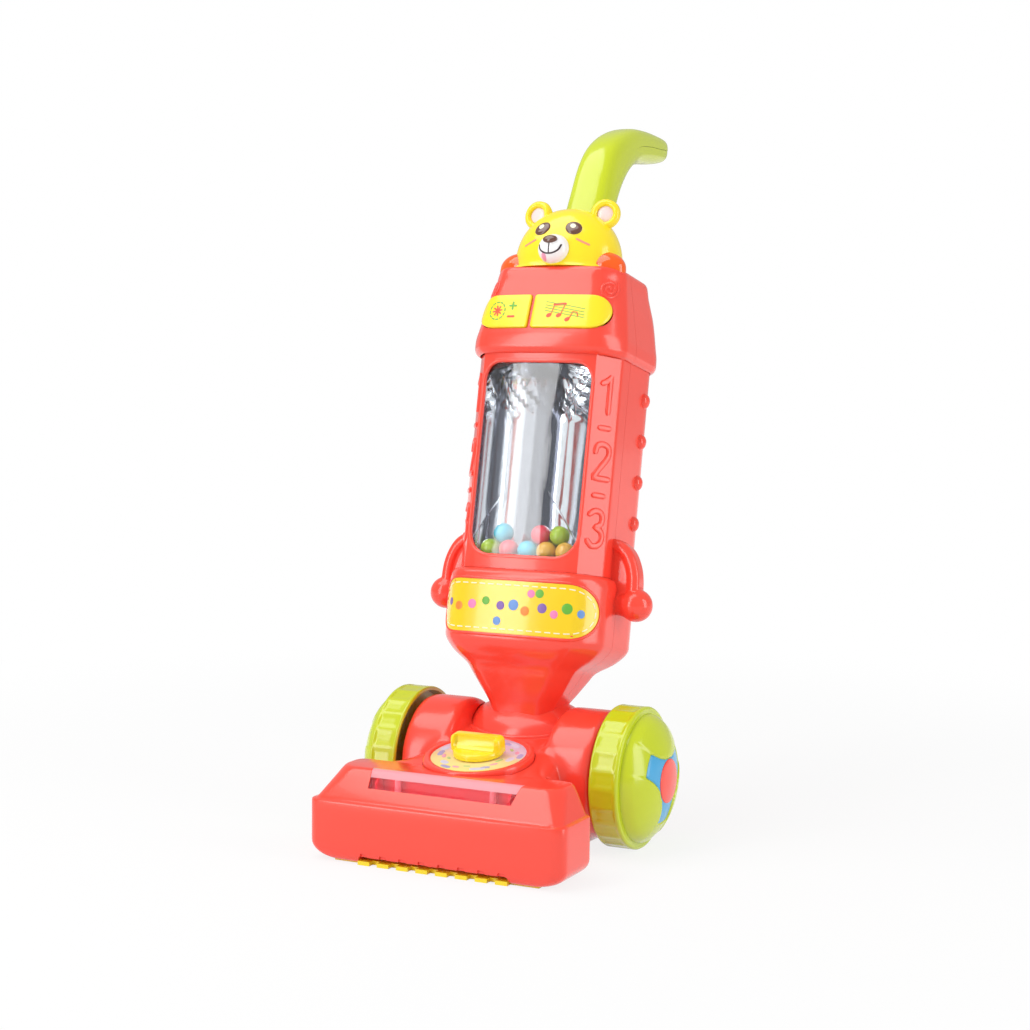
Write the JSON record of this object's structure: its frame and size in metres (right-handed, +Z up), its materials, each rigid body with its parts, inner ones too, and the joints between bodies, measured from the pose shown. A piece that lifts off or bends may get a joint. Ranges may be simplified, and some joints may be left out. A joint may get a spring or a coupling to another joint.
{
  "type": "toy vacuum cleaner",
  "caption": "Upright pretend-play vacuum cleaner with a wheeled floor nozzle, a tilting body with a clear bead chamber, sound buttons, a bear head with lamps and a bent handle.",
  "frame": {"origin": "on the floor, under the middle of the part's bounding box", "axes": "+Z up, -Y towards the front of the nozzle, +X to the viewer's right when looking at the front"},
  "size_m": [0.2534, 0.4188, 0.5664],
  "materials": {
    "coral_plastic": "moulded, glossy",
    "lime_plastic": "moulded, glossy",
    "yellow_plastic": "moulded, glossy",
    "blue_plastic": "moulded, glossy",
    "label_film": "printed film",
    "sticker_film": "printed film",
    "clear_plastic": "clear",
    "pink_clear": "tinted clear",
    "crimson_plastic": "moulded",
    "bright_plastic": "bright metal-coated",
    "grey_plastic": "moulded",
    "bead_lime": "glossy",
    "bead_teal": "glossy",
    "bead_amber": "glossy",
    "bead_red": "glossy",
    "steel": "zinc plated",
    "motor_can": "plain",
    "cell_sleeve": "sleeved",
    "black_plastic": "moulded",
    "board": "coated board",
    "white_plastic": "moulded",
    "brown_plastic": "moulded",
    "pale_pink_plastic": "moulded",
    "lamp_orange": "tinted clear",
    "led_ivory": "diffused"
  },
  "bodies": {
    "base": {"base_shell": "coral_plastic", "base_plate": "yellow_plastic", "nozzle_window": "pink_clear", "lamp_tray": "crimson_plastic", "nozzle_leds": "clear_plastic", "dial_disc": "coral_plastic", "dial_sticker": "sticker_film", "axles": "steel", "axle_nuts": "steel", "hinge_pin": "steel", "base_screws": "steel"},
    "wheel_left": {"wheel_left": "lime_plastic", "wheel_inset_left": "blue_plastic", "wheel_hub_left": "coral_plastic"},
    "wheel_right": {"wheel_right": "lime_plastic", "wheel_inset_right": "blue_plastic", "wheel_hub_right": "coral_plastic"},
    "dial": {"dial_knob": "yellow_plastic", "dial_screw": "steel"},
    "upper": {"neck_foot": "coral_plastic", "lower_front_shell": "coral_plastic", "lower_rear_shell": "coral_plastic", "tube_front_shell": "coral_plastic", "tube_rear_shell": "coral_plastic", "cap_front_shell": "coral_plastic", "cap_rear_shell": "coral_plastic", "cap_deck": "coral_plastic", "window_lens": "clear_plastic", "mirror_liner": "bright_plastic", "chamber_floor": "grey_plastic", "beads_lime": "bead_lime", "beads_teal": "bead_teal", "beads_amber": "bead_amber", "beads_red": "bead_red", "motor": "motor_can", "motor_bracket": "grey_plastic", "battery_box": "black_plastic", "battery_cells": "cell_sleeve", "battery_contacts": "steel", "battery_door": "coral_plastic", "door_screw": "steel", "sound_board": "board", "speaker": "black_plastic", "button_springs": "steel", "label_plate": "label_film", "arm_left": "coral_plastic", "arm_right": "coral_plastic", "bear_head": "yellow_plastic", "bear_muzzle": "white_plastic", "bear_eyes": "brown_plastic", "bear_ear_linings": "pale_pink_plastic", "lamp_lenses": "lamp_orange", "lamp_leds": "led_ivory", "handle_front": "lime_plastic", "handle_rear": "lime_plastic", "body_screws": "steel"},
    "fan": {"fan": "grey_plastic"},
    "power_button": {"button_power": "yellow_plastic"},
    "music_button": {"button_music": "yellow_plastic"}
  },
  "joints": [
    {"name": "body_tilt", "type": "hinge", "parent": "base", "child": "upper", "pos_m": [0, -0.04637, 0.062], "axis": [-1, 0, 0], "range_deg": [-10, 35]},
    {"name": "wheel_left_spin", "type": "hinge", "parent": "base", "child": "wheel_left", "pos_m": [0, -0.06438, 0.054], "axis": [1, 0, 0], "continuous": true},
    {"name": "wheel_right_spin", "type": "hinge", "parent": "base", "child": "wheel_right", "pos_m": [0, -0.06438, 0.054], "axis": [1, 0, 0], "continuous": true},
    {"name": "dial_turn", "type": "hinge", "parent": "base", "child": "dial", "pos_m": [0, -0.13437, 0.07025], "axis": [0, -0.1564, 0.9877], "continuous": true},
    {"name": "power_press", "type": "slide", "parent": "upper", "child": "power_button", "axis": [0, 0.9176, -0.3976], "range_m": [0, 0.0016], "stiffness_N_per_m": 1500, "springref_m": -0.0006, "deforming": ["button_springs"]},
    {"name": "music_press", "type": "slide", "parent": "upper", "child": "music_button", "axis": [0, 0.9176, -0.3976], "range_m": [0, 0.0016], "stiffness_N_per_m": 1500, "springref_m": -0.0006, "deforming": ["button_springs"]},
    {"name": "fan_spin", "type": "hinge", "parent": "upper", "child": "fan", "pos_m": [0, -0.0412, 0.19343], "axis": [0, 0.1908, 0.9816], "continuous": true}
  ]
}
